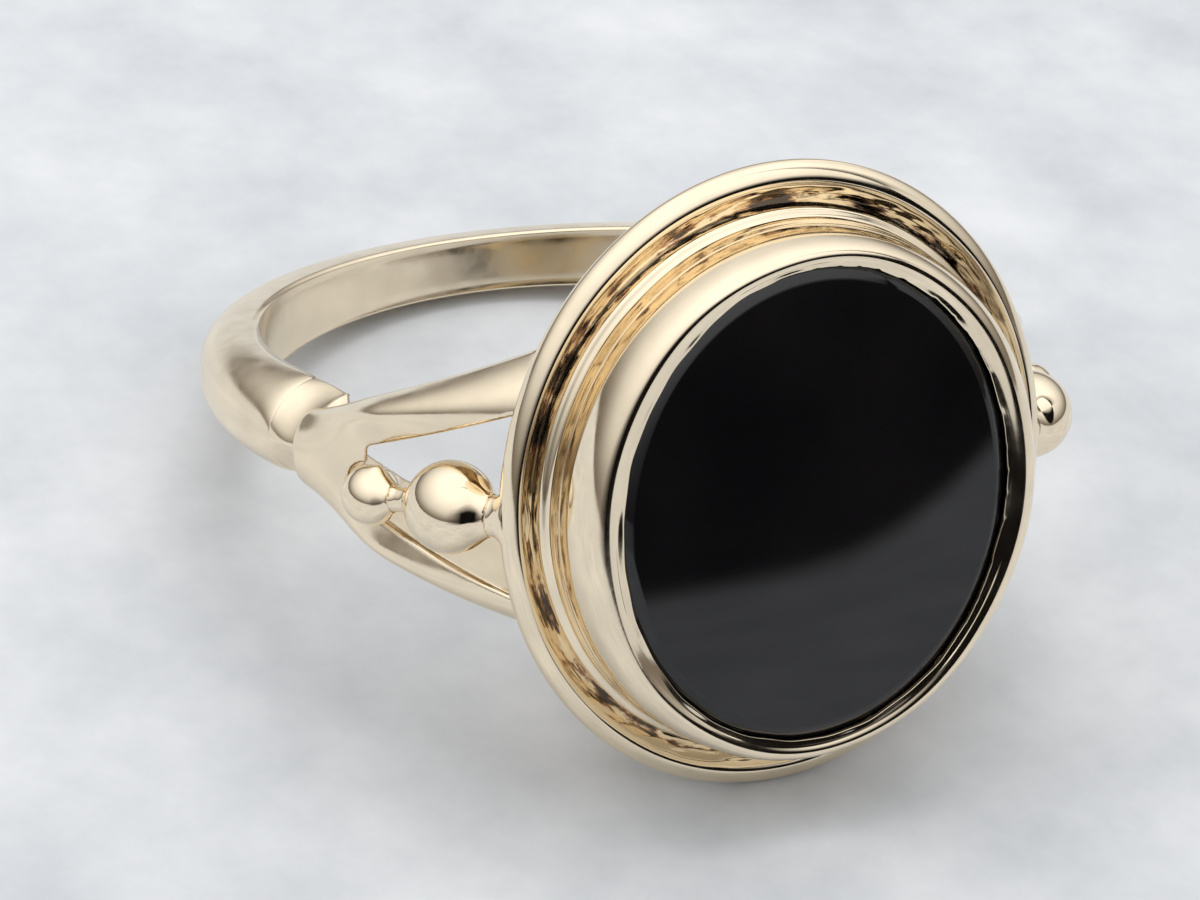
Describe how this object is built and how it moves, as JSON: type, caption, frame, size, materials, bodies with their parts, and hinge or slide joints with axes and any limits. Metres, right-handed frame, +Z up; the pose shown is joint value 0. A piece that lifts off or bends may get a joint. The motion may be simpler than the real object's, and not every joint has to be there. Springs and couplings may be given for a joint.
{
  "type": "signet ring",
  "caption": "Finger ring with an oval black stone in a stepped round-rimmed bezel head, beaded split shoulders and a narrow half-round shank.",
  "frame": {"origin": "on the table under the middle of the ring's box, as the ring rests on the lower edge of its head and the back of its shank", "axes": "+Z up from the table, -Y towards the stone's face, +X across the head, along the stone's short axis"},
  "size_m": [0.021, 0.0244, 0.015],
  "materials": {
    "gold": "polished pale yellow gold",
    "gold_head": "polished pale yellow gold, lightly tooled",
    "gold_channel": "pale yellow gold with polishing ripples",
    "gold_inside": "satin, less polished gold",
    "onyx": "polished black stone"
  },
  "bodies": {
    "root": {"shank": "gold", "left_collar": "gold", "right_collar": "gold", "left_fork": "gold", "right_fork": "gold", "left_small_bead": "gold", "right_small_bead": "gold", "left_bead_link": "gold", "right_bead_link": "gold", "left_large_bead": "gold", "right_large_bead": "gold", "left_bead_post": "gold", "right_bead_post": "gold", "gallery": "gold_inside", "channel_plate": "gold_channel", "rim": "gold_head", "step_border": "gold_head", "bezel": "gold_head", "stone_ledge": "gold_inside", "onyx": "onyx"}
  },
  "joints": []
}
